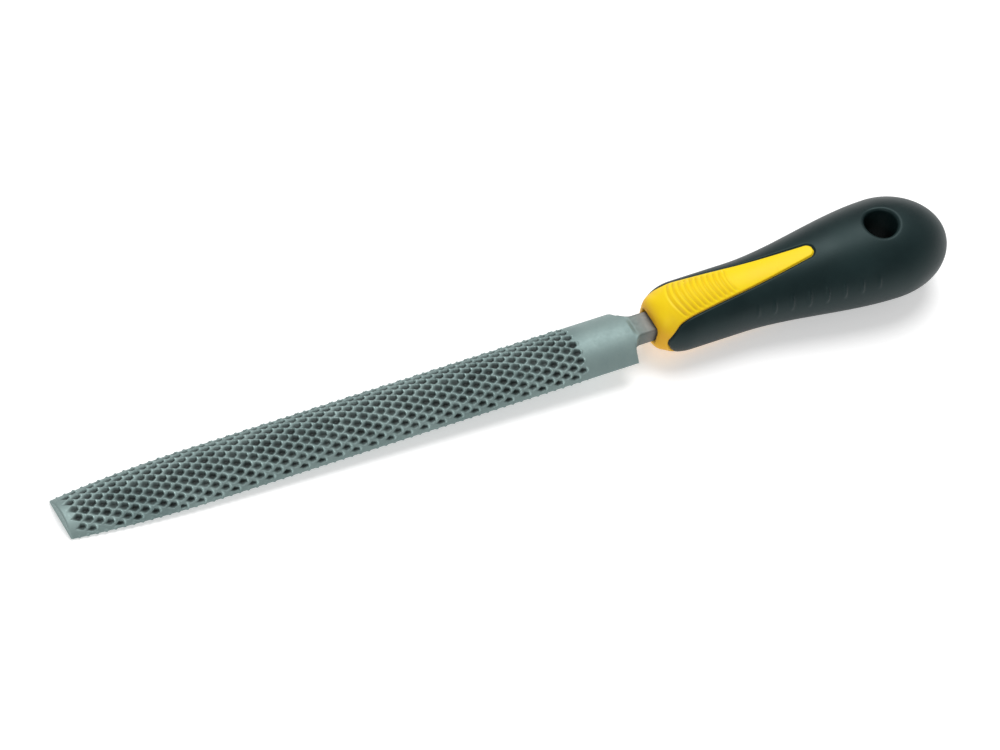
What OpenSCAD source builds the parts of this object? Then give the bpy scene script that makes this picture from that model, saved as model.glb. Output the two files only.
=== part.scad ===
// Wood rasp. A half-round steel blade, toothed on both faces, is forged in one piece with a
// tang, and the tang is pressed into a handle: a hard yellow core under a soft black grip.
// X runs from the tip to the butt, Y is across and Z is up. The rasp lies as it does on a
// bench, on the first teeth of its flat face and on the underside of its handle.

/* [Blade] */
// Length from the tip to the shoulders
blade_len = 200; // [150:5:300]
// Full width of the blade
blade_w = 21; // [18:0.5:26]
// Full thickness, from the flat face to the middle of the crown
blade_t = 6; // [5:0.1:7]
// Width of the blunt tip
tip_w = 15.6; // [12:0.1:17]
// Thickness of the blunt tip
tip_t = 3.4; // [3:0.1:4.5]
// Length over which the width narrows to the tip
narrow_len = 50; // [30:5:80]
// Length over which the thickness falls to the tip
thin_len = 120; // [60:5:140]

/* [Teeth] */
// Distance from one row of teeth to the next, along the blade
row_pitch = 3.03; // [2.6:0.01:4]
// Height of a tooth over the face
tooth_h = 0.45; // [0.2:0.05:0.6]
// Depth of the pit that each tooth was raised from
pit_depth = 0.4; // [0.2:0.05:0.6]
// Length of the smooth band at the tip
plain_tip = 2.5; // [2:0.5:6]
// Length of the smooth heel in front of the shoulders
plain_heel = 18; // [10:1:25]
// Half pitches between teeth across the crown
crown_steps = 16; // [12:2:20]
// Half pitches between teeth across the flat face
flat_steps = 8; // [4:2:10]

/* [Tang] */
// Width of the tang at the shoulders
tang_w = 8.4; // [7:0.1:10]
// Thickness of the tang
tang_t = 5.4; // [4.5:0.1:5.8]
// Length of the tang behind the shoulders
tang_len = 70; // [50:5:75]
// Width of the tang's end
tang_end_w = 3; // [2:0.5:5]
// Radius of the fillets between the shoulders and the tang
shoulder_r = 4; // [2:0.1:5]
// Bare length of tang between the shoulders and the handle
neck_len = 8.6; // [6:0.1:12]

/* [Handle] */
// Length of the handle
handle_len = 109.2; // [105:0.1:130]
// Width of the collar's front face
nose_w = 10.4; // [10:0.1:14]
// Height of the collar's front face
nose_h = 9.4; // [9:0.1:13]
// Length of the collar's rounded nose
nose_len = 11.4; // [10:0.1:16]
// Diameter of the waist
waist_d = 22.7; // [21:0.1:26]
// Distance from the collar's front face to where the waist begins to swell
waist_len = 31; // [24:1:40]
// Width of the belly
belly_w = 34.2; // [32:0.1:38]
// Height of the belly
belly_h = 31; // [28:0.1:34]
// Length of the rounded butt
butt_len = 23; // [21:0.1:27]
// How far the middle of the belly stands above the handle's axis
belly_lift = 1; // [0:0.1:2]

/* [Tongue] */
// Length of the yellow collar at the sides
collar_len = 3; // [2.5:0.1:6]
// Width of the yellow tongue at the collar
tongue_w = 17.4; // [14:0.1:19]
// Width of the yellow tongue where its round end begins
tongue_end_w = 5; // [4:0.5:8]
// Distance from the collar's front face to the tongue's tip
tongue_len = 57.9; // [45:0.1:65]

/* [Hanging hole] */
// Radius of the hanging hole
hole_r = 5.5; // [4:0.1:6]
// Distance from the butt's end to the hole's axis
hole_back = 26.3; // [25:0.1:30]
// Radius of the hole's rounded rims
rim_r = 1.5; // [1:0.1:2]
// Thickness of the grip around the hole
hole_wall = 2.5; // [2:0.1:3.5]

/* [Hidden] */
$fn = 64;

// The crown is an arc of this radius, and the flat face is its chord.
crown_r = (pow(blade_w / 2, 2) + pow(blade_t, 2)) / (2 * blade_t);
rows = floor((blade_len - plain_heel - plain_tip) / row_pitch);
heel_x = plain_tip + rows * row_pitch;
scoop_r = 6;

// The handle's axis runs through the middle of the blade's thickness.
axis_z = blade_t / 2;
collar_x = blade_len + neck_len;
butt_x = collar_x + handle_len;
waist_x = collar_x + waist_len;
belly_x = butt_x - butt_len;
hole_x = butt_x - hole_back;
socket_gap = 0.6;
socket_mouth = 3;

// The handle has this many sides, and lies on one of them.
ring_points = 48;
side_share = cos(180 / ring_points);

// The core's hidden body is a round bar. It swells to a bulb under the belly, and narrows
// again to a blunt end.
bar_r = 7.5;
bar_swell_x = waist_x + 8;
bulb_r = 11.8;
bulb_x = butt_x - 30;
bulb_end_x = butt_x - 21;
bar_end_x = butt_x - 15;

// The hole's rims are cut from this height over the belly's middle.
rim_z = belly_h / 2 - rim_r - 0.9;

// Smooth step from 0 to 1.
function ramp(t) = t <= 0 ? 0 : t >= 1 ? 1 : t * t * (3 - 2 * t);

// Half width and thickness of the blade at x, and the radius of its crown there.
function half_w(x) = (blade_w - (blade_w - tip_w) * pow(max(0, 1 - x / narrow_len), 2)) / 2;
function thick(x) = blade_t - (blade_t - tip_t) * pow(max(0, 1 - x / thin_len), 3);
function arc_r(x) = (pow(half_w(x), 2) + pow(thick(x), 2)) / (2 * thick(x));

// How far grid point j of grid column i stands off its face. Each row of teeth has a column
// of pits and, half a pitch behind it, a column of teeth. Next rows are staggered.
function tooth(i, j, last) =
    i < 1 || i > 2 * rows || j == 0 || j == last || (j + floor((i - 1) / 2)) % 2 == 1 ? 0
    : i % 2 == 1 ? -pit_depth
    : tooth_h;

function crown_point(x, i, j) =
    let (r = arc_r(x), a = asin(half_w(x) / r) * (1 - 2 * j / crown_steps))
    let (s = r + tooth(i, j, crown_steps))
    [x, s * sin(a), s * cos(a) - r + thick(x)];

function flat_point(x, i, j) =
    [x, half_w(x) * (2 * j / flat_steps - 1), -tooth(i, j, flat_steps)];

function blade_ring(x, i) = concat(
    [for (j = [0:crown_steps]) crown_point(x, i, j)],
    [for (j = [1:flat_steps - 1]) flat_point(x, i, j)]);

// Half width, half height and lift of the handle at x, between its nose and its butt.
function swell(x) = ramp((x - waist_x) / (belly_x - waist_x));
function lift(x) = belly_lift * swell(x) * (1 - ramp((x - belly_x) / butt_len));
function body_a(x) = (waist_d + (belly_w - waist_d) * swell(x)) / 2;
function body_b(x) = (waist_d + (belly_h - waist_d) * swell(x)) / 2;

// A section of the handle is [x, half width, half height]. The nose is close to a quarter
// ellipse, the butt is one, and the butt closes on a very small ring.
nose_power = 1.25;
nose = [for (t = [0:15:75]) [
    collar_x + nose_len * (1 - cos(t)),
    (nose_w + (waist_d - nose_w) * pow(sin(t), nose_power)) / 2,
    (nose_h + (waist_d - nose_h) * pow(sin(t), nose_power)) / 2]];
middle = [for (i = [0:11])
    let (x = collar_x + nose_len + (belly_x - collar_x - nose_len) * i / 11)
    [x, body_a(x), body_b(x)]];
butt = [for (t = [10:10:80]) [belly_x + butt_len * sin(t), belly_w / 2 * cos(t), belly_h / 2 * cos(t)]];
pole = [[butt_x, 0.6, 0.5]];
sections = concat(nose, middle, butt, pole);

function section_ring(s) = [for (i = [0:ring_points - 1])
    let (a = 360 * (i + 0.5) / ring_points)
    [s[0], s[1] * cos(a), axis_z + lift(s[0]) + s[2] * sin(a)]];

// The rasp tips up until its first teeth and the underside of its handle touch one plane.
rest_x = plain_tip + row_pitch;
tilt = max([for (s = sections)
    atan((s[2] * side_share - axis_z - lift(s[0]) - tooth_h) / (s[0] - rest_x))]);
function lying_x(x, z) = (x - rest_x) * cos(tilt) - (z + tooth_h) * sin(tilt);
mid_x = (lying_x(0, tip_t) + lying_x(butt_x, axis_z)) / 2;

// Moves a piece from the blade's own frame to the lying rasp's frame.
module lying() {
    translate([-mid_x, 0, 0])
        rotate([0, -tilt, 0])
            translate([-rest_x, 0, tooth_h])
                children();
}

// A closed skin over rings that all have n points.
module skin(rings, n) {
    last = len(rings) - 1;
    points = [for (r = rings) for (p = r) p];
    sides = [for (i = [0:last - 1]) for (j = [0:n - 1]) each [
        [i * n + j, (i + 1) * n + j, (i + 1) * n + (j + 1) % n],
        [i * n + j, (i + 1) * n + (j + 1) % n, i * n + (j + 1) % n]]];
    front = [for (j = [0:n - 1]) j];
    back = [for (j = [n - 1:-1:0]) last * n + j];
    polyhedron(points, concat(sides, [front, back]), convexity = 6);
}

// The toothed length of the blade, from the tip to the heel.
module toothed_length() {
    rings = concat(
        [blade_ring(0, 0)],
        [for (i = [0:2 * rows]) blade_ring(plain_tip + i * row_pitch / 2, i)]);
    skin(rings, crown_steps + flat_steps);
}

// The half-round section of the full-width blade.
module half_round() {
    intersection() {
        translate([0, blade_t - crown_r])
            circle(crown_r);
        translate([-blade_w / 2, 0])
            square([blade_w, blade_t]);
    }
}

// Plan of the heel: square shoulders with fillets that run into the tang.
module heel_plan() {
    translate([heel_x, -blade_w / 2])
        square([blade_len - heel_x, blade_w]);
    for (side = [-1, 1])
        scale([1, side])
            translate([blade_len, tang_w / 2])
                difference() {
                    square(shoulder_r);
                    translate([shoulder_r, shoulder_r])
                        circle(shoulder_r);
                }
    translate([blade_len, -tang_w / 2])
        square([shoulder_r, tang_w]);
}

// The smooth heel. Its crown is scooped down to the top of the tang.
module heel() {
    difference() {
        intersection() {
            translate([heel_x, 0, 0])
                rotate([90, 0, 90])
                    linear_extrude(blade_len + shoulder_r - heel_x)
                        half_round();
            linear_extrude(blade_t)
                heel_plan();
        }
        translate([blade_len + shoulder_r, 0, tang_t + scoop_r])
            rotate([90, 0, 0])
                cylinder(r = scoop_r, h = blade_w, center = true);
    }
}

// The flat tapering tang.
module tang() {
    start_x = blade_len + shoulder_r - 1;
    linear_extrude(tang_t)
        polygon([
            [start_x, -tang_w / 2],
            [collar_x, -tang_w / 2],
            [blade_len + tang_len, -tang_end_w / 2],
            [blade_len + tang_len, tang_end_w / 2],
            [collar_x, tang_w / 2],
            [start_x, tang_w / 2]]);
}

// The socket fits the tang, and its mouth is wider all round.
module socket() {
    tang();
    translate([collar_x - 1, -tang_w / 2 - socket_gap, -socket_gap])
        cube([socket_mouth + 1, tang_w + 2 * socket_gap, tang_t + 2 * socket_gap]);
}

// The whole outer form of the handle.
module handle_form() {
    skin([for (s = sections) section_ring(s)], ring_points);
}

// Everything that shows yellow: the collar, and a tapering tongue on top and underneath.
module tongue_prism() {
    round_x = collar_x + tongue_len - tongue_end_w / 2;
    translate([0, 0, axis_z - belly_h])
        linear_extrude(2 * belly_h)
            union() {
                translate([collar_x - 1, -belly_w])
                    square([collar_len + 1, 2 * belly_w]);
                polygon([
                    [collar_x, -tongue_w / 2],
                    [round_x, -tongue_end_w / 2],
                    [round_x, tongue_end_w / 2],
                    [collar_x, tongue_w / 2]]);
                translate([round_x, 0])
                    circle(d = tongue_end_w);
            }
}

// The core's hidden body, turned about the handle's axis.
module core_bar() {
    translate([collar_x, 0, axis_z])
        rotate([0, 90, 0])
            rotate_extrude()
                polygon([
                    [0, collar_len - 1],
                    [bar_r, collar_len - 1],
                    [bar_r, bar_swell_x - collar_x],
                    [bulb_r, bulb_x - collar_x],
                    [bulb_r, bulb_end_x - collar_x],
                    [bulb_r / 2, bar_end_x - collar_x],
                    [0, bar_end_x - collar_x]]);
}

module hole_cylinder(r) {
    translate([hole_x, 0, axis_z - belly_h])
        cylinder(r = r, h = 2 * belly_h);
}

// One rounded rim of the hanging hole, as the flared plug that cuts it.
module rim_cutter() {
    rotate_extrude()
        difference() {
            square([hole_r + rim_r, 3 * rim_r]);
            translate([hole_r + rim_r, 0])
                circle(rim_r);
        }
}

module hanging_hole() {
    hole_cylinder(hole_r);
    for (side = [0, 1])
        translate([hole_x, 0, axis_z + lift(hole_x)])
            mirror([0, 0, side])
                translate([0, 0, rim_z])
                    rim_cutter();
}

module rasp_blade() {
    color([0.52, 0.58, 0.58])
        lying() {
            toothed_length();
            heel();
            tang();
        }
}

module handle_core() {
    color([0.98, 0.8, 0.08])
        lying()
            difference() {
                union() {
                    intersection() {
                        handle_form();
                        tongue_prism();
                    }
                    core_bar();
                }
                socket();
                hole_cylinder(hole_r + hole_wall);
            }
}

module grip_sleeve() {
    color([0.15, 0.2, 0.21])
        lying()
            difference() {
                handle_form();
                tongue_prism();
                difference() {
                    core_bar();
                    hole_cylinder(hole_r + hole_wall);
                }
                hanging_hole();
            }
}

rasp_blade();
handle_core();
grip_sleeve();
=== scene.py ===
from math import acos, cos, pi, radians, sin

import bmesh
import bpy
import numpy as np
from mathutils import Matrix, Vector


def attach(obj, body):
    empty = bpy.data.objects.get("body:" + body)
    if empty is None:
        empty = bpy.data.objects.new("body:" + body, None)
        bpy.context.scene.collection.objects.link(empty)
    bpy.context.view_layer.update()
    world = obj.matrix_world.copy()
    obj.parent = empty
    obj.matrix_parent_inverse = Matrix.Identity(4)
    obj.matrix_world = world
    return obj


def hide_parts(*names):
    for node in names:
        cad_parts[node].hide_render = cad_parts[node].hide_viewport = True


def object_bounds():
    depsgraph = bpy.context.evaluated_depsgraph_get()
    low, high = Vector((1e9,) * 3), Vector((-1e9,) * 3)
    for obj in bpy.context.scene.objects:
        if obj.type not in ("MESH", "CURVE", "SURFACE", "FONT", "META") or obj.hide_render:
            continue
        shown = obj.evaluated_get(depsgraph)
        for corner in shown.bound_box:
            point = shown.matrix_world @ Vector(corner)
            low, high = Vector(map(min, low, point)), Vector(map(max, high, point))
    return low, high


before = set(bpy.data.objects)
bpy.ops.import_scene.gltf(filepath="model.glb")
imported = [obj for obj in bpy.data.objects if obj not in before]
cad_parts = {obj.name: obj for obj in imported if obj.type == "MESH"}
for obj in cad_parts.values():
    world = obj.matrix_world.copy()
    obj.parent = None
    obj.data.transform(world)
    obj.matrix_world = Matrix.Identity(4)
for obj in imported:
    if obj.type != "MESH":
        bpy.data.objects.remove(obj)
cad_box = [list(corner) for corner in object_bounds()]

# Sizes are in millimetres in the rasp's own frame: X from the blade's tip to the butt, Y across,
# Z up from the blade's flat face. lying() takes them to the row's frame, in metres.
MM = 0.001

# Blade
BLADE_LEN = 200.0
BLADE_W = 21.0
BLADE_T = 6.0
TIP_W = 15.6
TIP_T = 3.4
NARROW_LEN = 50.0
THIN_LEN = 120.0
EDGE_LAND = 0.2
TIP_CHAMFER = 0.4
CHAMFER_SLOPE = 0.6
SHOULDER_ROLL = 0.7

# Teeth
ROW_PITCH = 3.03
ACROSS_PITCH = 3.12
PLAIN_TIP = 2.5
PLAIN_HEEL = 18.0
ROWS = int((BLADE_LEN - PLAIN_HEEL - PLAIN_TIP) / ROW_PITCH)
HEEL_X = PLAIN_TIP + ROWS * ROW_PITCH
TOOTH_H = 0.45
CROWN_TOOTH_H = 0.75
FLAT_TOOTH_H = 0.4
TOOTH_STRAY = 0.2
PIT_DEPTH = 0.95
PIT_LEAD = 1.3
PIT_POINT = 0.8
PIT_FACE = 0.2
BURR_LEN = 1.1
BURR_HALF_W = 1.15
BURR_RISE = 0.25
BURR_BEND = 0.9
EDGE_MARGIN = 0.9
EDGE_FADE = 1.4
EDGE_NICK = 0.34
EDGE_NICK_W = 0.5

# Tang
TANG_HALF_W = 4.2
TANG_T = 5.4
TANG_LEN = 70.0
TANG_END_HALF_W = 1.5
SHOULDER_R = 4.0
TANG_CORNER_R = 0.8

# Handle
AXIS_Z = BLADE_T / 2
COLLAR_X = 208.6
BUTT_X = COLLAR_X + 109.2
NOSE_LEN = 11.4
NOSE_A = 5.2
NOSE_B = 4.7
NOSE_POWER = 1.25
NOSE_SQUARE = 0.28
NOSE_SQUARE_LEN = 4.0
WAIST_R = 11.35
BELLY_A = 17.1
BELLY_B = 15.5
BUTT_LEN = 23.0
BELLY_X = BUTT_X - BUTT_LEN
WAIST_X = COLLAR_X + 31.0
BELLY_LIFT = 1.0
GRIP_T = 3.0

# Where yellow meets black
PANEL_X = 211.2
PANEL_ROUND = 4.4
PANEL_HALF_H = 0.6
TONGUE_W = 17.4
TONGUE_END_W = 5.0
TONGUE_ROUND_X = COLLAR_X + 57.9 - TONGUE_END_W / 2
TONGUE_FLAT_HALF = 0.8
TONGUE_TURN = acos(2 * TONGUE_FLAT_HALF / TONGUE_END_W)
TONGUE_X = TONGUE_ROUND_X + TONGUE_END_W / 2 * sin(TONGUE_TURN)
GROOVE_DEPTH = 0.55
GROOVE_W = 0.34

# Socket
MOUTH_GAP = 0.7
MOUTH_DEPTH = 7.0
LIP_R = 0.35

# Ribs across the tongue
CORE_RIB_X = 213.4
CORE_RIB_PITCH = 2.1
CORE_RIB_BOW = 0.055
CORE_RIB_H = 0.25

# Finger ribs
FINGER_RIBS = 9
FINGER_RIB_X = 236.4
FINGER_RIB_PITCH = 6.0
NEAR_RIB_ANGLE = radians(68.0)
FAR_RIB_ANGLE = radians(88.0)
FINGER_RIB_H = 0.9
FINGER_RIB_W = 0.55

# Hanging hole
HOLE_X = BUTT_X - 26.3
HOLE_R = 5.5
RIM_R = 1.5
BLOCK_HALF = 10.3

# How finely the meshes are divided: points across the crown and the flat face, and round the
# handle's top and each of its sides.
CROWN_N = 112
FLAT_N = 84
TOP_N = 44
SIDE_N = 76
RING_N = 2 * (TOP_N + SIDE_N)
CLUSTERING = 0.72

# How the rasp lies: on the first teeth of its flat face and on its belly.
REST_X = PLAIN_TIP + ROW_PITCH


def ramp(t):
    t = np.clip(t, 0.0, 1.0)
    return t * t * (3 - 2 * t)


def swell(x):
    return ramp((x - WAIST_X) / (BELLY_X - WAIST_X))


def lift(x):
    return BELLY_LIFT * swell(x) * (1 - ramp((x - BELLY_X) / BUTT_LEN))


def nose_share(x):
    """0 at the collar's front face and 1 where the nose's quarter ellipse ends."""
    q = np.clip(1 - (x - COLLAR_X) / NOSE_LEN, 0.0, 1.0)
    return np.sqrt(1 - q * q) ** NOSE_POWER


def butt_share(x):
    """1 up to the belly, and 0 at the butt's end."""
    q = np.clip((x - BELLY_X) / BUTT_LEN, 0.0, 1.0)
    return np.sqrt(1 - q * q)


def handle_a(x):
    body = WAIST_R + (BELLY_A - WAIST_R) * swell(x)
    return (NOSE_A + (body - NOSE_A) * nose_share(x)) * butt_share(x)


def handle_b(x):
    body = WAIST_R + (BELLY_B - WAIST_R) * swell(x)
    return (NOSE_B + (body - NOSE_B) * nose_share(x)) * butt_share(x)


def rest_tilt():
    x = np.linspace(WAIST_X, BUTT_X - 1, 400)
    drop = handle_b(x) - AXIS_Z - lift(x) - TOOTH_H
    return float(np.arctan(drop / (x - REST_X)).max())


TILT = rest_tilt()


def lying_mm(x, z):
    return ((x - REST_X) * cos(TILT) - (z + TOOTH_H) * sin(TILT),
            (x - REST_X) * sin(TILT) + (z + TOOTH_H) * cos(TILT))


MID_X = (lying_mm(0.0, TIP_T)[0] + lying_mm(BUTT_X, AXIS_Z)[0]) / 2


def lying(points):
    """Points in the rasp's own frame, in millimetres, to the row's frame, in metres."""
    p = np.asarray(points, float).reshape(-1, 3)
    x, z = lying_mm(p[:, 0], p[:, 2])
    return np.stack([(x - MID_X), p[:, 1], z], axis=1) * MM


# ---------------------------------------------------------------- mesh helpers

def make_object(name, points, faces, smooth_angle=40.0, relief=None):
    mesh = bpy.data.meshes.new(name)
    mesh.from_pydata(lying(points).tolist(), [], faces)
    if relief is not None:
        mesh.attributes.new("relief", "FLOAT", "POINT").data.foreach_set("value", relief)
    mesh.validate()
    bm = bmesh.new()
    bm.from_mesh(mesh)
    bmesh.ops.remove_doubles(bm, verts=bm.verts, dist=1e-7)
    bmesh.ops.recalc_face_normals(bm, faces=bm.faces)
    for face in bm.faces:
        face.smooth = True
    limit = radians(smooth_angle)
    for edge in bm.edges:
        if len(edge.link_faces) == 2 and edge.calc_face_angle(0.0) > limit:
            edge.smooth = False
    bm.to_mesh(mesh)
    bm.free()
    piece = bpy.data.objects.new(name, mesh)
    bpy.context.scene.collection.objects.link(piece)
    return piece


def noise01(i, j, salt):
    """A repeatable pseudo-random number from 0 to 1 for each pair of whole numbers."""
    v = np.sin(i * 127.1 + j * 311.7 + salt * 74.7) * 43758.5453
    return v - np.floor(v)


# ---------------------------------------------------------------- blade

def blade_half_w(x):
    taper = np.maximum(0.0, 1 - x / NARROW_LEN) ** 2
    chamfer = np.maximum(0.0, TIP_CHAMFER - x) * CHAMFER_SLOPE
    return (BLADE_W - (BLADE_W - TIP_W) * taper) / 2 - chamfer


def blade_thick(x):
    taper = np.maximum(0.0, 1 - x / THIN_LEN) ** 3
    chamfer = np.maximum(0.0, TIP_CHAMFER - x) * CHAMFER_SLOPE
    return BLADE_T - (BLADE_T - TIP_T) * taper - chamfer


def half_width(x):
    """Half width of blade, shoulders and tang."""
    foot = BLADE_LEN + SHOULDER_R
    if x < BLADE_LEN:
        return float(blade_half_w(x))
    if x < foot:
        reach = SHOULDER_R ** 2 - (x - foot) ** 2
        return TANG_HALF_W + SHOULDER_R - max(reach, 0.0) ** 0.5
    taper = max(0.0, (x - COLLAR_X) / (BLADE_LEN + TANG_LEN - COLLAR_X))
    return TANG_HALF_W - (TANG_HALF_W - TANG_END_HALF_W) * taper


def from_tooth(x, s, k, across, salt):
    """Distance along and across from the tooth of row k, which strays a little from its place."""
    u = x - (REST_X + k * ROW_PITCH) - TOOTH_STRAY * (noise01(k, across, salt) - 0.5)
    v = s - across - TOOTH_STRAY * (noise01(k, across, salt + 1) - 0.5)
    return u, v


def pits(x, s, limit, salt):
    """The pits are four-sided points. They tile the face, with thin ridges between them."""
    along = (x - REST_X + PIT_LEAD) / (2 * ROW_PITCH)
    aside = s / ACROSS_PITCH
    i = np.round(along + aside)
    j = np.round(along - aside)
    k = i + j
    across = (i - j) / 2 * ACROSS_PITCH
    u, v = from_tooth(x, s, k, across, salt)
    size = 0.85 + 0.3 * noise01(k, across, salt + 2)
    lead = np.abs(u + PIT_LEAD) / (2 * ROW_PITCH)
    # They are smaller on the flanks, and shallower where the blade's edge is thin.
    tighter = 2 + 0.75 * (across / limit) ** 2
    inward = np.clip(1 - tighter * (lead + np.abs(v) / ACROSS_PITCH), 0.0, 1.0)
    wall = np.minimum(inward / PIT_POINT, 1.0) ** 0.8
    wall = wall * ramp((limit + EDGE_MARGIN - np.abs(s)) / EDGE_FADE)
    deeper = 0.4 + 0.6 * ramp((u + 3.6) / 3.0)
    face = np.clip(1 - u / PIT_FACE, 0.0, 1.0)
    alive = (k >= 0) & (k < ROWS) & (np.abs(across) < limit)
    return np.where(alive, -PIT_DEPTH * wall * deeper * face * size, 0.0)


def burrs(x, s, limit, salt):
    """The crescent of steel thrown up on the handle's side of each pit."""
    k = np.floor((x - REST_X) / ROW_PITCH)
    stagger = np.mod(k, 2) * 0.5
    across = (np.round(s / ACROSS_PITCH - stagger) + stagger) * ACROSS_PITCH
    u, v = from_tooth(x, s, k, across, salt)
    size = 0.85 + 0.15 * noise01(k, across, salt + 2)
    side = np.clip(1 - np.abs(v) / BURR_HALF_W, 0.0, 1.0)
    # The crescent's horns bend towards the tip, round the end of its pit.
    u = u + BURR_BEND * (1 - side) ** 2
    rise = np.clip((u + BURR_RISE) / BURR_RISE, 0.0, 1.0)
    rise = rise * np.clip(1 - u / BURR_LEN, 0.0, 1.0) ** 1.3
    alive = (k >= 0) & (k < ROWS) & (np.abs(across) < limit)
    return np.where(alive, rise * side ** 0.85 * size, 0.0)


def relief(x, s, limit, tooth_h, salt):
    """Height of the punched face at x and at s, the distance across from the middle."""
    return pits(x, s, limit, salt) + tooth_h * burrs(x, s, limit, salt)


def edge_nicks(x):
    """The edge bulges a little beside each row of teeth."""
    if x < REST_X - ROW_PITCH or x > HEEL_X:
        return 0.0
    return EDGE_NICK * max(0.0, cos(2 * pi * (x - REST_X) / ROW_PITCH)) ** 2


def blade_stations():
    fine = ROW_PITCH / 14
    return np.concatenate([
        np.linspace(0, TIP_CHAMFER, 3)[:-1],
        np.arange(TIP_CHAMFER, HEEL_X + 1.6, fine),
        np.arange(HEEL_X + 2.0, BLADE_LEN - 1.2, 0.8),
        np.arange(BLADE_LEN - 1.0, BLADE_LEN - 0.05, 0.1),
        [BLADE_LEN - 0.001],
        np.arange(BLADE_LEN, BLADE_LEN + SHOULDER_R + 0.5, 0.1),
        np.arange(BLADE_LEN + SHOULDER_R + 0.7, COLLAR_X + 4, 0.5),
        np.arange(COLLAR_X + 5, BLADE_LEN + TANG_LEN + 0.1, 4.0)])


def blade_ring(x):
    """One ring of the blade, across the crown and back over the flat face, and its relief."""
    half = half_width(x)
    thick = float(blade_thick(x))
    full = float(blade_half_w(x))
    radius = (full ** 2 + (thick - EDGE_LAND) ** 2) / (2 * (thick - EDGE_LAND))
    reach = np.arcsin(half / radius)
    angle = np.linspace(-reach, reach, CROWN_N + 1)
    edge = radius * reach
    here = np.full_like(angle, x)
    crown_rise = relief(here, radius * angle, edge - EDGE_MARGIN, CROWN_TOOTH_H, 1)
    nick = edge_nicks(x)
    bulge = np.exp(-((edge - np.abs(radius * angle)) / EDGE_NICK_W) ** 2)
    out = radius + crown_rise + nick * bulge
    y = out * np.sin(angle)
    z = thick - radius + out * np.cos(angle)
    neck = float(ramp((x - BLADE_LEN - 0.6) / 1.8))
    z = z + (TANG_T - z) * neck
    # The crown rolls over at the shoulders, and the tang's corners are rounded.
    roll = min(max(x - BLADE_LEN + 1.0, 0.0), 1.0)
    z = z - SHOULDER_ROLL * (1 - (1 - roll ** 2) ** 0.5) * ramp((np.abs(y) - 6.0) / 2.0)
    corner = TANG_CORNER_R * float(ramp((x - BLADE_LEN) / 2.0)) + 1e-6
    past = np.clip((np.abs(y) - half) / corner + 1, 0.0, 1.0)
    z = z - corner * (1 - np.sqrt(1 - past ** 2))
    crown = np.stack([here, y, z], axis=1)
    flat_y = np.linspace(half, -half, FLAT_N + 1)
    here = np.full_like(flat_y, x)
    flat_rise = relief(here, flat_y, half - EDGE_MARGIN, FLAT_TOOTH_H, 7)
    wide = np.sign(flat_y) * nick * np.exp(-((half - np.abs(flat_y)) / EDGE_NICK_W) ** 2)
    flat = np.stack([here, flat_y + wide, -flat_rise], axis=1)
    return np.concatenate([crown, flat]), np.concatenate([crown_rise, flat_rise])


def build_blade():
    rings = [blade_ring(float(x)) for x in blade_stations()]
    n = len(rings[0][0])
    points = np.concatenate([ring[0] for ring in rings])
    heights = np.concatenate([ring[1] for ring in rings])
    faces = []
    for i in range(len(rings) - 1):
        a = i * n
        b = a + n
        faces += [(a + j, b + j, b + (j + 1) % n, a + (j + 1) % n) for j in range(n)]
    faces.append(tuple(range(n - 1, -1, -1)))
    last = (len(rings) - 1) * n
    faces.append(tuple(range(last, last + n)))
    return make_object("rasp_blade_steel", points, faces, smooth_angle=50.0, relief=heights)


# ---------------------------------------------------------------- handle

def handle_stations():
    return np.unique(np.round(np.concatenate([
        COLLAR_X + (PANEL_X - COLLAR_X) * (1 - np.cos(np.linspace(0, pi / 2, 24))),
        PANEL_X + PANEL_ROUND * (1 - np.cos(np.linspace(0, pi / 2, 28))),
        np.arange(PANEL_X + PANEL_ROUND, TONGUE_ROUND_X - 0.1, 0.25),
        TONGUE_ROUND_X + TONGUE_END_W / 2 * np.sin(np.linspace(0, TONGUE_TURN, 20)),
        np.arange(TONGUE_X, TONGUE_X + 1.5, 0.15),
        np.arange(TONGUE_X + 1.5, BELLY_X, 0.25),
        BELLY_X + BUTT_LEN * np.sin(np.linspace(0, radians(89), 70))]), 4))


def tongue_half(x):
    """Half width of the yellow tongue, seen from above."""
    slope = (TONGUE_END_W - TONGUE_W) / (2 * (TONGUE_ROUND_X - COLLAR_X))
    wedge = TONGUE_W / 2 + slope * (x - COLLAR_X)
    past = np.clip(x - TONGUE_ROUND_X, 0.0, TONGUE_END_W / 2)
    tip = np.sqrt(np.maximum((TONGUE_END_W / 2) ** 2 - past ** 2, TONGUE_FLAT_HALF ** 2))
    return np.where(x < TONGUE_ROUND_X, wedge, tip)


def sector_angle(x):
    """Angle from the top to the line between the top sector and a side sector."""
    start = pi / 2 - np.arcsin(PANEL_HALF_H / handle_b(np.array(PANEL_X)))
    wedge = np.arcsin(np.clip(tongue_half(x) / np.maximum(handle_a(x), 1e-3), 0.0, 0.99))
    q = 1 - np.clip((x - PANEL_X) / PANEL_ROUND, 0.0, 1.0)
    front = wedge + (start - wedge) * (1 - np.sqrt(1 - q * q))
    block = np.arcsin(BLOCK_HALF / BELLY_A)
    back = ramp((x - TONGUE_X) / (HOLE_X - BLOCK_HALF - TONGUE_X - 1))
    return np.where(x > TONGUE_X, wedge + (block - wedge) * back, front)


def clustered(n):
    """n + 1 values from 0 to 1, closer together at both ends."""
    t = np.linspace(0, 1, n + 1)
    return t - CLUSTERING * np.sin(2 * pi * t) / (2 * pi)


def ring_angles(x):
    """Angles of one ring, from the top towards -Y: top, near side, bottom, far side."""
    s = float(sector_angle(np.array(x)))
    top = -s + 2 * s * clustered(TOP_N)[:-1]
    near = s + (pi - 2 * s) * clustered(SIDE_N)[:-1]
    return np.concatenate([top, near, top + pi, near + pi])


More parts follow.
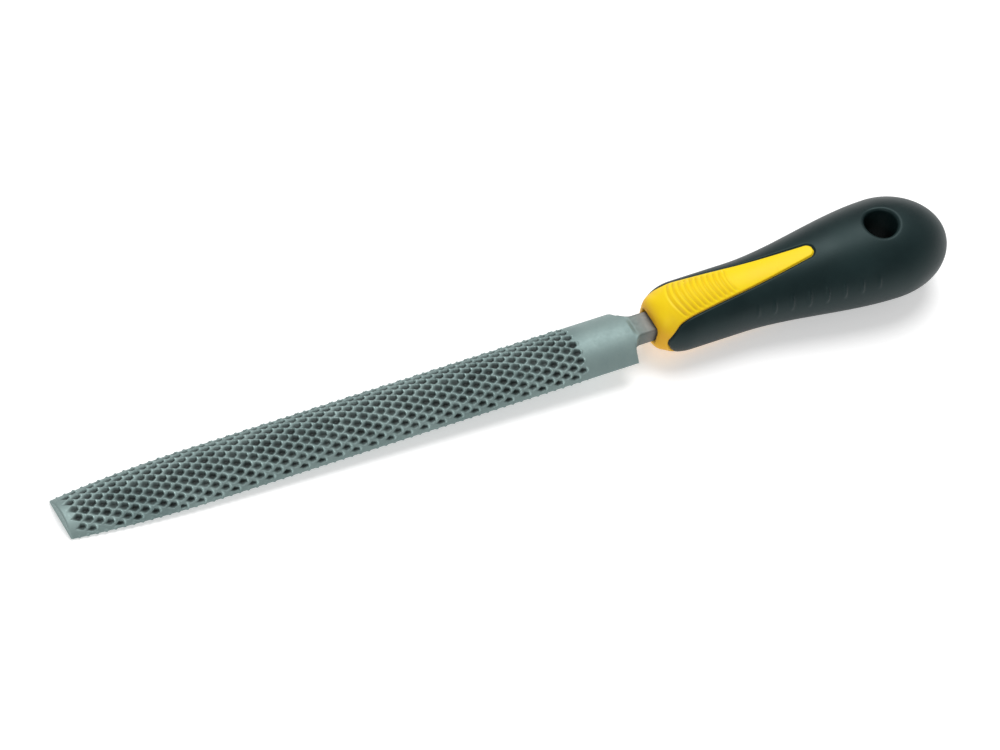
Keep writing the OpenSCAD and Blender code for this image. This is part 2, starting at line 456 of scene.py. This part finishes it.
def squared(value, x):
    """Sine or cosine, bent so that the collar's front face is a rounded rectangle."""
    power = 1 - NOSE_SQUARE * (1 - ramp((x - COLLAR_X) / NOSE_SQUARE_LEN))
    return np.sign(value) * np.abs(value) ** power


def section_points(x, angles, shrink=0.0):
    a = handle_a(x) - shrink
    b = handle_b(x) - shrink
    y = -a * squared(np.sin(angles), x)
    z = AXIS_Z + lift(x) + b * squared(np.cos(angles), x)
    return np.stack([np.full_like(y, x), y, z], axis=-1)


def section_normals(x, angles):
    a = handle_a(x)
    b = handle_b(x)
    n = np.stack([np.zeros_like(angles), -np.sin(angles) / a, np.cos(angles) / b], axis=-1)
    return n / np.linalg.norm(n, axis=-1, keepdims=True)


def distance_to(points, curve):
    """Distance of each point from the nearest point of a finely sampled curve."""
    out = np.empty(len(points))
    for i in range(0, len(points), 3000):
        part = points[i:i + 3000]
        gap = part[:, None, :] - curve[None, :, :]
        out[i:i + 3000] = np.sqrt((gap ** 2).sum(axis=2).min(axis=1))
    return out


def handle_grid():
    """Outer and inner points of the handle, and which cells of the grid are yellow."""
    xs = handle_stations()
    angles = np.array([ring_angles(x) for x in xs])
    outer = np.array([section_points(x, t) for x, t in zip(xs, angles)])
    normals = np.array([section_normals(x, t) for x, t in zip(xs, angles)])

    # The seam between yellow and black.
    in_seam = np.where((xs >= PANEL_X - 1e-6) & (xs <= TONGUE_X + 1e-6))[0]
    corners = [0, TOP_N, TOP_N + SIDE_N, 2 * TOP_N + SIDE_N]
    lines = [outer[in_seam][:, j] for j in corners]
    first, last = in_seam[0], in_seam[-1]
    near = np.arange(TOP_N, TOP_N + SIDE_N + 1)
    far = np.arange(2 * TOP_N + SIDE_N, RING_N + 1) % RING_N
    lines += [outer[first, near], outer[first, far]]
    lines += [outer[last, :TOP_N + 1], outer[last, TOP_N + SIDE_N:2 * TOP_N + SIDE_N + 1]]
    seam = np.concatenate(lines)

    flat = outer.reshape(-1, 3)
    close = np.full(len(flat), 99.0)
    band = flat[:, 0] < TONGUE_X + 4
    close[band] = distance_to(flat[band], seam)
    close = close.reshape(outer.shape[:2])

    column = np.arange(RING_N)
    in_top = (column < TOP_N) | ((column >= TOP_N + SIDE_N) & (column < 2 * TOP_N + SIDE_N))
    cell_x = (xs[:-1] + xs[1:]) / 2
    yellow = (cell_x[:, None] < PANEL_X) | ((cell_x[:, None] < TONGUE_X) & in_top[None, :])
    return xs, angles, outer, normals, close, yellow


def inner_grid(xs, angles):
    """The skin between core and grip: the outer form less the grip's thickness."""
    end_x = HOLE_X - BLOCK_HALF - 1.5
    rows = []
    for x, t in zip(xs, angles):
        if x > end_x:
            break
        ring = section_points(x, t, GRIP_T)
        q = np.clip((x - (end_x - 8)) / 8, 0.0, 1.0)
        shrink = (1 - q * q) ** 0.5 if q < 1 else 0.0
        centre = np.array([x, 0.0, AXIS_Z + float(lift(x))])
        rows.append(centre + (ring - centre) * max(shrink, 0.03))
    return np.array(rows)


def core_ribs(points, close):
    """Low bowed ribs across the front of the tongue."""
    x = points[..., 0]
    y = points[..., 1]
    bowed = x - CORE_RIB_BOW * y ** 2
    window = ramp((bowed - 213.0) / 1.6) * (1 - ramp((bowed - 234.5) / 3.0))
    fade = ramp((close - 0.6) / 1.6)
    wave = np.cos(2 * pi * (bowed - CORE_RIB_X) / CORE_RIB_PITCH)
    return CORE_RIB_H * wave * window * fade


def finger_ribs(points, angles, close):
    """Short lens-shaped ribs on both sides of the grip, a little lower on the far side."""
    x = points[..., 0]
    turn = np.mod(angles, 2 * pi)
    near = turn < pi
    around = np.where(near, turn - NEAR_RIB_ANGLE, 2 * pi - turn - FAR_RIB_ANGLE)
    rise = np.zeros_like(x)
    for i in range(FINGER_RIBS):
        rib_x = FINGER_RIB_X + FINGER_RIB_PITCH * i
        stretch = sin(pi * (i + 0.3) / (FINGER_RIBS + 1)) ** 1.5
        arc = around * handle_a(rib_x)
        lens = np.clip(1 - (arc / (2.2 + 1.2 * stretch)) ** 2, 0.0, 1.0)
        ridge = np.exp(-((x - rib_x) / FINGER_RIB_W) ** 2)
        rise = np.maximum(rise, FINGER_RIB_H * stretch * lens * ridge)
    return rise * ramp(close - 0.5)


def carve(outer, normals, close, rise):
    """The smooth form with the seam's groove cut in, and raised by rise."""
    groove = GROOVE_DEPTH * np.exp(-(close / GROOVE_W) ** 2)
    return outer + normals * (rise - groove)[..., None]


def shell_faces(solid, outer_start, inner_start, inner_rows, both):
    """Quads for the cells in solid on the outer skin, for the inner skin, and for the walls
    between them. both says whether the inner skin lies under the solid cells or beside them."""
    faces = []
    rows, n = solid.shape
    limit = inner_rows - 1

    def cell(start, i, j):
        a = start + i * n + j
        b = start + i * n + (j + 1) % n
        return (a, a + n, b + n, b)

    for i in range(rows):
        for j in range(n):
            if solid[i, j]:
                faces.append(cell(outer_start, i, j))
            if i < limit and solid[i, j] == both:
                faces.append(cell(inner_start, i, j))
    for i in range(limit):
        for j in range(n):
            if solid[i, j] != solid[i, j - 1]:
                a = i * n + j
                faces.append((outer_start + a, outer_start + a + n,
                              inner_start + a + n, inner_start + a))
            if i > 0 and solid[i, j] != solid[i - 1, j]:
                a = i * n + j
                b = i * n + (j + 1) % n
                faces.append((outer_start + a, outer_start + b, inner_start + b, inner_start + a))
    return faces


def mouth_ring(x, half_y, half_z, angles, power=7.0):
    """A rounded rectangle about the tang's middle, one point for each ring angle."""
    c = np.cos(angles)
    s = np.sin(angles)
    r = (np.abs(s / half_y) ** power + np.abs(c / half_z) ** power) ** (-1 / power)
    return np.stack([np.full_like(angles, x), -r * s, TANG_T / 2 + r * c], axis=-1)


def build_core(grid):
    xs, angles, outer, normals, close, yellow = grid
    used = int((xs < TONGUE_X + 1e-6).sum())
    skin = carve(outer, normals, close, core_ribs(outer, close))
    inner = inner_grid(xs, angles)
    cells = yellow[:len(inner) - 1]
    n = RING_N
    points = [skin[:used].reshape(-1, 3), inner.reshape(-1, 3)]
    inner_start = used * n
    faces = shell_faces(cells, 0, inner_start, len(inner), False)
    total = inner_start + len(inner) * n
    faces.append(tuple(total - n + j for j in range(n)))

    # Front face, rolled lip, socket walls and socket floor.
    t = angles[0]
    mouth_y = TANG_HALF_W + MOUTH_GAP
    mouth_z = TANG_T / 2 + MOUTH_GAP
    loops = []
    for turn in np.linspace(0, pi / 2, 6):
        grow = LIP_R * (1 - sin(turn))
        back = LIP_R * (1 - cos(turn))
        loops.append(mouth_ring(COLLAR_X + back, mouth_y + grow, mouth_z + grow, t))
    deep_x = COLLAR_X + MOUTH_DEPTH
    loops.append(mouth_ring(deep_x, mouth_y, mouth_z, t))
    loops.append(mouth_ring(deep_x + 0.4, TANG_HALF_W + 0.02, TANG_T / 2 + 0.02, t, 14.0))
    end_x = BLADE_LEN + TANG_LEN + 0.1
    loops.append(mouth_ring(end_x, TANG_END_HALF_W + 0.05, TANG_T / 2 + 0.02, t, 14.0))
    before = 0
    for loop in loops:
        points.append(loop)
        faces += [(before + j, before + (j + 1) % n, total + (j + 1) % n, total + j)
                  for j in range(n)]
        before = total
        total += n
    faces.append(tuple(before + j for j in range(n)))
    return make_object("handle_core_yellow", np.concatenate(points), faces)


def top_z(x, y, side):
    """Height of the handle's surface over or under a point of its plan."""
    a = handle_a(x)
    b = handle_b(x)
    return AXIS_Z + lift(x) + side * b * np.sqrt(np.maximum(0.0, 1 - (y / a) ** 2))


def build_grip(grid):
    xs, angles, outer, normals, close, yellow = grid
    n = RING_N
    skin = carve(outer, normals, close, finger_ribs(outer, angles, close))
    inner = inner_grid(xs, angles)
    first = int(np.argmin(np.abs(xs - PANEL_X)))
    skin = skin[first:]
    inner = inner[first:]
    black = ~yellow[first:]
    xs_b = xs[first:]

    # The block of cells round each end of the hanging hole is left out for a round patch.
    lo = int(np.searchsorted(xs_b, HOLE_X - BLOCK_HALF))
    hi = int(np.searchsorted(xs_b, HOLE_X + BLOCK_HALF))
    solid = black.copy()
    solid[lo:hi, :TOP_N] = False
    solid[lo:hi, TOP_N + SIDE_N:2 * TOP_N + SIDE_N] = False
    inner_start = len(skin) * n
    faces = shell_faces(solid, 0, inner_start, len(inner), True)
    total = inner_start + len(inner) * n
    points = [skin.reshape(-1, 3), inner.reshape(-1, 3)]
    faces.append(tuple(total - n + j for j in range(n)))
    front = [j for j in range(n) if black[0, j]]
    faces += [(j, (j + 1) % n, inner_start + (j + 1) % n, inner_start + j) for j in front]
    last = (len(skin) - 1) * n
    faces.append(tuple(last + j for j in range(n)))

    # Patches, rims and bore.
    border = ([(lo, j) for j in range(TOP_N)] + [(i, TOP_N) for i in range(lo, hi)]
              + [(hi, j) for j in range(TOP_N, 0, -1)] + [(i, 0) for i in range(hi, lo, -1)])
    m = len(border)
    loops = {}
    for side in (1, -1):
        if side == 1:
            ids = [i * n + j for i, j in border]
        else:
            ids = [i * n + (2 * TOP_N + SIDE_N - j) for i, j in border]
        edge = skin.reshape(-1, 3)[ids]
        bearing = np.arctan2(edge[:, 1], edge[:, 0] - HOLE_X)
        mouth = HOLE_R + RIM_R
        rings = []
        for t in np.linspace(1, 0, 13)[1:]:
            px = (HOLE_X + mouth * np.cos(bearing)) * (1 - t) + edge[:, 0] * t
            py = mouth * np.sin(bearing) * (1 - t) + edge[:, 1] * t
            rings.append((px, py, top_z(px, py, side)))
        for turn in np.linspace(0, pi / 2, 10)[1:]:
            r = mouth - RIM_R * sin(turn)
            px = HOLE_X + r * np.cos(bearing)
            py = r * np.sin(bearing)
            rings.append((px, py, top_z(px, py, side) - side * RIM_R * (1 - cos(turn))))
        before = ids
        for px, py, pz in rings:
            points.append(np.stack([px, py, pz], axis=1))
            now = list(range(total, total + m))
            faces += [(before[k], before[(k + 1) % m], now[(k + 1) % m], now[k]) for k in range(m)]
            before = now
            total += m
        loops[side] = (before, points[-1])
    top_ids, top_points = loops[1]
    bottom_ids, bottom_points = loops[-1]
    before = top_ids
    for t in np.linspace(0, 1, 16)[1:-1]:
        points.append(top_points * (1 - t) + bottom_points * t)
        now = list(range(total, total + m))
        faces += [(before[k], before[(k + 1) % m], now[(k + 1) % m], now[k]) for k in range(m)]
        before = now
        total += m
    faces += [(before[k], before[(k + 1) % m], bottom_ids[(k + 1) % m], bottom_ids[k])
              for k in range(m)]
    return make_object("grip_sleeve_rubber", np.concatenate(points), faces)


# ---------------------------------------------------------------- materials

def new_material(name):
    material = bpy.data.materials.new(name)
    material.use_nodes = True
    nodes = material.node_tree.nodes
    shader = nodes["Principled BSDF"]
    return material, nodes, material.node_tree.links, shader


def coordinates(nodes):
    return nodes.new("ShaderNodeTexCoord").outputs["Object"]


def noise(nodes, links, vector, scale, detail=4.0, rough=0.55):
    node = nodes.new("ShaderNodeTexNoise")
    node.inputs["Scale"].default_value = scale
    node.inputs["Detail"].default_value = detail
    node.inputs["Roughness"].default_value = rough
    links.new(vector, node.inputs["Vector"])
    return node.outputs["Fac"]


def colour_ramp(nodes, links, value, stops):
    node = nodes.new("ShaderNodeValToRGB")
    elements = node.color_ramp.elements
    while len(elements) < len(stops):
        elements.new(0.5)
    for element, (position, colour) in zip(elements, stops):
        element.position = position
        element.color = (*colour, 1.0)
    links.new(value, node.inputs["Fac"])
    return node.outputs["Color"]


def map_range(nodes, links, value, low, high, out_low, out_high):
    node = nodes.new("ShaderNodeMapRange")
    node.inputs["From Min"].default_value = low
    node.inputs["From Max"].default_value = high
    node.inputs["To Min"].default_value = out_low
    node.inputs["To Max"].default_value = out_high
    links.new(value, node.inputs["Value"])
    return node.outputs["Result"]


def bump(nodes, links, height, strength, distance):
    node = nodes.new("ShaderNodeBump")
    node.inputs["Strength"].default_value = strength
    node.inputs["Distance"].default_value = distance
    links.new(height, node.inputs["Height"])
    return node.outputs["Normal"]


def mix_colour(nodes, links, factor, a, b, blend="MIX"):
    """a and b mixed by factor. Each of the three may be a plain value or another node's socket."""
    node = nodes.new("ShaderNodeMix")
    node.data_type = "RGBA"
    node.blend_type = blend
    if isinstance(factor, float):
        node.inputs["Factor"].default_value = factor
    else:
        links.new(factor, node.inputs["Factor"])
    for socket, value in (("A", a), ("B", b)):
        target = [s for s in node.inputs if s.name == socket and s.type == "RGBA"][0]
        if isinstance(value, tuple):
            target.default_value = (*value, 1.0)
        else:
            links.new(value, target)
    return [s for s in node.outputs if s.type == "RGBA"][0]


def steel_material():
    material, nodes, links, shader = new_material("blade_steel")
    place = coordinates(nodes)
    broad = noise(nodes, links, place, 60.0)
    fine = noise(nodes, links, place, 900.0, 6.0, 0.7)
    base = colour_ramp(nodes, links, broad, [
        (0.3, (0.20, 0.28, 0.275)), (0.7, (0.27, 0.36, 0.35))])
    height = nodes.new("ShaderNodeAttribute")
    height.attribute_name = "relief"
    # Painted shade and highlight: the pits are darkened, more the deeper they go, and the tops of
    # the teeth are brightened, partly as worn steel and partly as painted highlight.
    shade = map_range(nodes, links, height.outputs["Fac"], -0.8, 0.45, 0.0, 1.0)
    pit_shade_and_tooth_highlight = colour_ramp(nodes, links, shade, [
        (0.0, (0.09, 0.09, 0.09)), (0.35, (0.36, 0.37, 0.37)), (0.60, (0.90, 0.90, 0.90)),
        (0.66, (1.0, 1.0, 1.0)), (0.95, (1.7, 1.7, 1.7))])
    base = mix_colour(nodes, links, 1.0, base, pit_shade_and_tooth_highlight, "MULTIPLY")
    # The tang is darker than the blade, with a warm tint by the collar.
    spot = nodes.new("ShaderNodeSeparateXYZ")
    links.new(place, spot.inputs["Vector"])
    tang_x = lying([(BLADE_LEN + 1.5, 0.0, TANG_T)])[0][0]
    dark = map_range(nodes, links, spot.outputs["X"], tang_x, tang_x + 0.0015, 0.0, 0.75)
    base = mix_colour(nodes, links, dark, base, (0.13, 0.15, 0.14))
    warm = map_range(nodes, links, spot.outputs["X"], tang_x + 0.002, tang_x + 0.006, 0.0, 0.55)
    base = mix_colour(nodes, links, warm, base, (0.25, 0.22, 0.21))
    links.new(base, shader.inputs["Base Color"])
    links.new(map_range(nodes, links, fine, 0.3, 0.7, 0.50, 0.66), shader.inputs["Roughness"])
    shader.inputs["Metallic"].default_value = 0.5
    links.new(bump(nodes, links, fine, 0.25, 0.00006), shader.inputs["Normal"])
    return material


def yellow_material():
    material, nodes, links, shader = new_material("core_plastic")
    place = coordinates(nodes)
    broad = noise(nodes, links, place, 45.0)
    fine = noise(nodes, links, place, 1600.0, 3.0)
    base = colour_ramp(nodes, links, broad, [
        (0.35, (0.91, 0.65, 0.003)), (0.65, (0.96, 0.70, 0.005))])
    # Painted shade: the flanks, which face sideways and down, away from the overhead lamps, are
    # painted a deeper, more orange yellow than the top.
    spot = nodes.new("ShaderNodeSeparateXYZ")
    links.new(nodes.new("ShaderNodeTexCoord").outputs["Normal"], spot.inputs["Vector"])
    painted_flank_shade = map_range(nodes, links, spot.outputs["Z"], 0.95, 0.1, 0.0, 1.0)
    base = mix_colour(nodes, links, painted_flank_shade, base, (0.80, 0.42, 0.012))
    # Painted shade: hollows, such as the seam and the socket's mouth, are darkened.
    geometry = nodes.new("ShaderNodeNewGeometry")
    painted_hollow_shade = map_range(nodes, links, geometry.outputs["Pointiness"], 0.495, 0.42, 0.0, 0.6)
    base = mix_colour(nodes, links, painted_hollow_shade, base, (0.25, 0.09, 0.004))
    links.new(base, shader.inputs["Base Color"])
    links.new(map_range(nodes, links, broad, 0.3, 0.7, 0.42, 0.52), shader.inputs["Roughness"])
    links.new(bump(nodes, links, fine, 0.12, 0.00005), shader.inputs["Normal"])
    shader.inputs["Specular IOR Level"].default_value = 0.22
    shader.inputs["Subsurface Weight"].default_value = 0.06
    shader.inputs["Subsurface Radius"].default_value = (0.004, 0.002, 0.0004)
    shader.inputs["Subsurface Scale"].default_value = 1.0
    return material


def rubber_material():
    material, nodes, links, shader = new_material("grip_rubber")
    place = coordinates(nodes)
    broad = noise(nodes, links, place, 70.0)
    fine = noise(nodes, links, place, 2600.0, 3.0)
    base = colour_ramp(nodes, links, broad, [
        (0.35, (0.004, 0.012, 0.013)), (0.65, (0.007, 0.018, 0.019))])
    links.new(base, shader.inputs["Base Color"])
    links.new(map_range(nodes, links, broad, 0.3, 0.7, 0.42, 0.52), shader.inputs["Roughness"])
    links.new(bump(nodes, links, fine, 0.3, 0.00008), shader.inputs["Normal"])
    shader.inputs["Specular IOR Level"].default_value = 0.4
    shader.inputs["IOR"].default_value = 1.4
    shader.inputs["Specular Tint"].default_value = (0.75, 1.0, 1.0, 1.0)
    return material


def floor_material():
    material, nodes, links, shader = new_material("studio_floor")
    base = colour_ramp(nodes, links, noise(nodes, links, coordinates(nodes), 3.0), [
        (0.3, (0.80, 0.80, 0.80)), (0.7, (0.83, 0.83, 0.83))])
    links.new(base, shader.inputs["Base Color"])
    shader.inputs["Roughness"].default_value = 0.8
    # It is a light table, so its shadows are faint.
    shader.inputs["Emission Color"].default_value = (1.0, 1.0, 1.0, 1.0)
    shader.inputs["Emission Strength"].default_value = 0.4
    return material


# ---------------------------------------------------------------- stage

# The camera's aim and distance are in millimetres in the rasp's own frame, its angles in degrees
# and its lens in millimetres. The floor's sizes are in metres.
CAMERA_AIM = (154.044, -0.674, 3.0)
CAMERA_DISTANCE = 2494.9
CAMERA_AZIMUTH = -39.714
CAMERA_ELEVATION = 50.357
CAMERA_ROLL = 14.738
CAMERA_LENS = 286.25
FLOOR_HALF = 3.0
FLOOR_GAP = 0.0002
SKY_STRENGTH = 0.34


def direction(azimuth, elevation):
    """Unit vector towards an azimuth and elevation in degrees. Azimuth 0 is -Y."""
    a, e = radians(azimuth), radians(elevation)
    return np.array([sin(a) * cos(e), -cos(a) * cos(e), sin(e)])


def build_camera():
    back = direction(CAMERA_AZIMUTH, CAMERA_ELEVATION)
    a = radians(CAMERA_AZIMUTH)
    level = np.array([cos(a), sin(a), 0.0])
    up = np.cross(back, level)
    roll = radians(CAMERA_ROLL)
    right = cos(roll) * level + sin(roll) * up
    aim = np.array(CAMERA_AIM)
    place, ahead, beside = lying([aim + CAMERA_DISTANCE * back,
                                  aim + (CAMERA_DISTANCE - 1) * back,
                                  aim + CAMERA_DISTANCE * back + right])
    z = Vector(place - ahead).normalized()
    x = Vector(beside - place).normalized()
    y = z.cross(x)
    camera = bpy.data.objects.new("camera", bpy.data.cameras.new("camera"))
    bpy.context.scene.collection.objects.link(camera)
    matrix = Matrix((x, y, z)).transposed().to_4x4()
    matrix.translation = Vector(place)
    camera.matrix_world = matrix
    camera.data.lens = CAMERA_LENS
    camera.data.sensor_width = 36.0
    camera.data.clip_end = 20.0
    bpy.context.scene.camera = camera


def area_light(name, place, aim, size, power):
    data = bpy.data.lights.new(name, "AREA")
    data.shape = "DISK"
    data.size = size
    data.energy = power
    light = bpy.data.objects.new(name, data)
    bpy.context.scene.collection.objects.link(light)
    light.location = place
    light.rotation_euler = (Vector(aim) - Vector(place)).to_track_quat("-Z", "Y").to_euler()


def build_stage():
    mesh = bpy.data.meshes.new("floor")
    h = FLOOR_HALF
    mesh.from_pydata([(-h, -h, 0), (h, -h, 0), (h, h, 0), (-h, h, 0)], [], [(0, 1, 2, 3)])
    floor = bpy.data.objects.new("floor", mesh)
    bpy.context.scene.collection.objects.link(floor)
    floor.location.z = cad_box[0][2] - FLOOR_GAP
    floor.data.materials.append(floor_material())
    aim = (0.0, 0.0, 0.01)
    area_light("key", place=(0.30, 0.44, 1.25), aim=aim, size=1.0, power=14.5)
    area_light("fill", place=(-0.9, -0.7, 0.8), aim=aim, size=0.5, power=3.2)
    world = bpy.data.worlds.new("studio")
    bpy.context.scene.world = world
    world.use_nodes = True
    sky = world.node_tree.nodes["Background"]
    sky.inputs["Color"].default_value = (1.0, 1.0, 1.0, 1.0)
    sky.inputs["Strength"].default_value = SKY_STRENGTH
    bpy.context.scene.view_settings.view_transform = "Standard"


def finish_piece(piece, node, material):
    piece.data.materials.append(material)
    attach(piece, "root")
    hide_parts(node)


build_camera()
build_stage()
grid = handle_grid()
finish_piece(build_blade(), "rasp_blade", steel_material())
finish_piece(build_core(grid), "handle_core", yellow_material())
finish_piece(build_grip(grid), "grip_sleeve", rubber_material())
